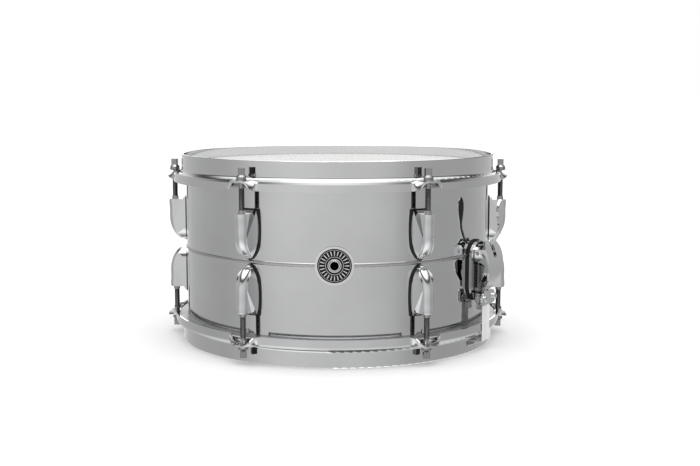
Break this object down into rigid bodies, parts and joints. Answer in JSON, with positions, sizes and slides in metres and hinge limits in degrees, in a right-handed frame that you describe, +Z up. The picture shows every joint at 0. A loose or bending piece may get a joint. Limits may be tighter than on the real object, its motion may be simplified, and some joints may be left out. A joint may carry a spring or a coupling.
{
  "type": "snare drum",
  "caption": "Chrome metal-shell snare drum with tube-and-wing lugs, double-flanged hoops, coated batter head, lever strainer, butt end and coiled snare wires.",
  "frame": {"origin": "centre of the lower hoop's edge, on the surface that the drum stands on", "axes": "+Z up along the drum's axis, -Y towards the badge, +X level towards the player's right of the badge, with the strainer 60 degrees from the badge towards +X"},
  "size_m": [0.376, 0.356, 0.2],
  "materials": {
    "shell_chrome": "mirror-polished chrome plate on a metal shell",
    "hoop_chrome": "chrome-plated pressed steel",
    "lug_chrome": "chrome-plated die casting",
    "rod_chrome": "chrome-plated steel with rolled thread",
    "strainer_chrome": "chrome-plated steel and die casting",
    "vent_chrome": "chrome-plated brass grommet",
    "batter_film": "white sprayed coating on polyester film, finely rough",
    "snare_film": "thin hazy polyester film",
    "flesh_aluminium": "extruded channel, satin",
    "gasket_rubber": "black moulded rubber",
    "insert_brass": "nickel-plated turned brass",
    "screw_steel": "zinc-plated steel",
    "badge_enamel": "black enamel field with a bright raised rim",
    "strap_plastic": "translucent polyester strip",
    "wire_steel": "bright drawn steel wire"
  },
  "bodies": {
    "drum_shell": {"shell": "shell_chrome", "badge": "badge_enamel", "vent_grommet": "vent_chrome", "batter_lug_1": "lug_chrome", "batter_lug_2": "lug_chrome", "batter_lug_3": "lug_chrome", "batter_lug_4": "lug_chrome", "batter_lug_5": "lug_chrome", "batter_lug_6": "lug_chrome", "snare_lug_1": "lug_chrome", "snare_lug_2": "lug_chrome", "snare_lug_3": "lug_chrome", "snare_lug_4": "lug_chrome", "snare_lug_5": "lug_chrome", "snare_lug_6": "lug_chrome", "lug_gaskets": "gasket_rubber", "lug_inserts": "insert_brass", "lug_screws": "screw_steel", "lug_screw_washers": "screw_steel", "strainer_gasket": "gasket_rubber", "strainer_base": "strainer_chrome", "strainer_cover": "strainer_chrome", "strainer_pivot_pin": "screw_steel", "strainer_mounting_screws": "screw_steel", "butt_gasket": "gasket_rubber", "butt_base": "strainer_chrome", "butt_clamp_plate": "strainer_chrome", "butt_clamp_screws": "strainer_chrome", "butt_mounting_screws": "screw_steel"},
    "batter_hoop_group": {"batter_hoop": "hoop_chrome", "batter_head_film": "batter_film", "batter_flesh_hoop": "flesh_aluminium", "batter_rod_washers": "rod_chrome"},
    "snare_hoop_group": {"snare_hoop": "hoop_chrome", "snare_head_film": "snare_film", "snare_flesh_hoop": "flesh_aluminium", "snare_rod_washers": "rod_chrome"},
    "batter_rod_1_turning": {"batter_rod_1": "rod_chrome"},
    "batter_rod_2_turning": {"batter_rod_2": "rod_chrome"},
    "batter_rod_3_turning": {"batter_rod_3": "rod_chrome"},
    "batter_rod_4_turning": {"batter_rod_4": "rod_chrome"},
    "batter_rod_5_turning": {"batter_rod_5": "rod_chrome"},
    "batter_rod_6_turning": {"batter_rod_6": "rod_chrome"},
    "snare_rod_1_turning": {"snare_rod_1": "rod_chrome"},
    "snare_rod_2_turning": {"snare_rod_2": "rod_chrome"},
    "snare_rod_3_turning": {"snare_rod_3": "rod_chrome"},
    "snare_rod_4_turning": {"snare_rod_4": "rod_chrome"},
    "snare_rod_5_turning": {"snare_rod_5": "rod_chrome"},
    "snare_rod_6_turning": {"snare_rod_6": "rod_chrome"},
    "lever": {"strainer_lever": "strainer_chrome"},
    "carriage": {"strainer_carriage": "strainer_chrome"},
    "clamp": {"strainer_clamp_block": "strainer_chrome", "strainer_clamp_plate": "strainer_chrome", "strainer_clamp_screws": "strainer_chrome"},
    "knob": {"tension_knob": "strainer_chrome"},
    "snares": {"snare_wires": "wire_steel", "snare_end_plates": "wire_steel", "snare_strap_strainer": "strap_plastic", "snare_strap_butt": "strap_plastic"}
  },
  "joints": [
    {"name": "batter_hoop_travel", "type": "slide", "parent": "drum_shell", "child": "batter_hoop_group", "axis": [0, 0, 1], "range_m": [0, 0.003]},
    {"name": "batter_rod_1_turn", "type": "hinge", "parent": "batter_hoop_group", "child": "batter_rod_1_turning", "pos_m": [0.08955, -0.1551, 0.187], "axis": [0, 0, 1], "range_deg": [0, 1022]},
    {"name": "batter_rod_2_turn", "type": "hinge", "parent": "batter_hoop_group", "child": "batter_rod_2_turning", "pos_m": [0.1791, 0, 0.187], "axis": [0, 0, 1], "range_deg": [0, 1022]},
    {"name": "batter_rod_3_turn", "type": "hinge", "parent": "batter_hoop_group", "child": "batter_rod_3_turning", "pos_m": [0.08955, 0.1551, 0.187], "axis": [0, 0, 1], "range_deg": [0, 1022]},
    {"name": "batter_rod_4_turn", "type": "hinge", "parent": "batter_hoop_group", "child": "batter_rod_4_turning", "pos_m": [-0.08955, 0.1551, 0.187], "axis": [0, 0, 1], "range_deg": [0, 1022]},
    {"name": "batter_rod_5_turn", "type": "hinge", "parent": "batter_hoop_group", "child": "batter_rod_5_turning", "pos_m": [-0.1791, 0, 0.187], "axis": [0, 0, 1], "range_deg": [0, 1022]},
    {"name": "batter_rod_6_turn", "type": "hinge", "parent": "batter_hoop_group", "child": "batter_rod_6_turning", "pos_m": [-0.08955, -0.1551, 0.187], "axis": [0, 0, 1], "range_deg": [0, 1022]},
    {"name": "snare_hoop_travel", "type": "slide", "parent": "drum_shell", "child": "snare_hoop_group", "axis": [0, 0, -1], "range_m": [0, 0.003]},
    {"name": "snare_rod_1_turn", "type": "hinge", "parent": "snare_hoop_group", "child": "snare_rod_1_turning", "pos_m": [0.08955, -0.1551, 0.013], "axis": [0, 0, -1], "range_deg": [0, 1022]},
    {"name": "snare_rod_2_turn", "type": "hinge", "parent": "snare_hoop_group", "child": "snare_rod_2_turning", "pos_m": [0.1791, 0, 0.013], "axis": [0, 0, -1], "range_deg": [0, 1022]},
    {"name": "snare_rod_3_turn", "type": "hinge", "parent": "snare_hoop_group", "child": "snare_rod_3_turning", "pos_m": [0.08955, 0.1551, 0.013], "axis": [0, 0, -1], "range_deg": [0, 1022]},
    {"name": "snare_rod_4_turn", "type": "hinge", "parent": "snare_hoop_group", "child": "snare_rod_4_turning", "pos_m": [-0.08955, 0.1551, 0.013], "axis": [0, 0, -1], "range_deg": [0, 1022]},
    {"name": "snare_rod_5_turn", "type": "hinge", "parent": "snare_hoop_group", "child": "snare_rod_5_turning", "pos_m": [-0.1791, 0, 0.013], "axis": [0, 0, -1], "range_deg": [0, 1022]},
    {"name": "snare_rod_6_turn", "type": "hinge", "parent": "snare_hoop_group", "child": "snare_rod_6_turning", "pos_m": [-0.08955, -0.1551, 0.013], "axis": [0, 0, -1], "range_deg": [0, 1022]},
    {"name": "lever_throw", "type": "hinge", "parent": "drum_shell", "child": "lever", "pos_m": [0.15285, -0.08825, 0.103], "axis": [0.5, 0.866, 0], "range_deg": [0, 60.1]},
    {"name": "carriage_drop", "type": "slide", "parent": "drum_shell", "child": "carriage", "axis": [0, 0, -1], "range_m": [0, 0.002]},
    {"name": "snare_drop", "type": "slide", "parent": "snare_hoop_group", "child": "snares", "axis": [0, 0, -1], "range_m": [0, 0.00202]},
    {"name": "clamp_travel", "type": "slide", "parent": "carriage", "child": "clamp", "axis": [0, 0, 1], "range_m": [-0.002, 0.0015]},
    {"name": "knob_turn", "type": "hinge", "parent": "clamp", "child": "knob", "pos_m": [0.14974, -0.08645, 0.046], "axis": [0, 0, 1], "range_deg": [-1030, 773]}
  ],
  "couplings": [
    {"joint": "batter_rod_1_turn", "follows": "batter_hoop_travel", "rad_per_m": 5936.9},
    {"joint": "batter_rod_2_turn", "follows": "batter_hoop_travel", "rad_per_m": 5936.9},
    {"joint": "batter_rod_3_turn", "follows": "batter_hoop_travel", "rad_per_m": 5936.9},
    {"joint": "batter_rod_4_turn", "follows": "batter_hoop_travel", "rad_per_m": 5936.9},
    {"joint": "batter_rod_5_turn", "follows": "batter_hoop_travel", "rad_per_m": 5936.9},
    {"joint": "batter_rod_6_turn", "follows": "batter_hoop_travel", "rad_per_m": 5936.9},
    {"joint": "snare_rod_1_turn", "follows": "snare_hoop_travel", "rad_per_m": 5936.9},
    {"joint": "snare_rod_2_turn", "follows": "snare_hoop_travel", "rad_per_m": 5936.9},
    {"joint": "snare_rod_3_turn", "follows": "snare_hoop_travel", "rad_per_m": 5936.9},
    {"joint": "snare_rod_4_turn", "follows": "snare_hoop_travel", "rad_per_m": 5936.9},
    {"joint": "snare_rod_5_turn", "follows": "snare_hoop_travel", "rad_per_m": 5936.9},
    {"joint": "snare_rod_6_turn", "follows": "snare_hoop_travel", "rad_per_m": 5936.9},
    {"joint": "lever_throw", "follows": "carriage_drop", "rad_per_m": 523.6},
    {"joint": "snare_drop", "follows": "carriage_drop", "ratio": 1},
    {"joint": "knob_turn", "follows": "clamp_travel", "rad_per_m": 8976}
  ]
}
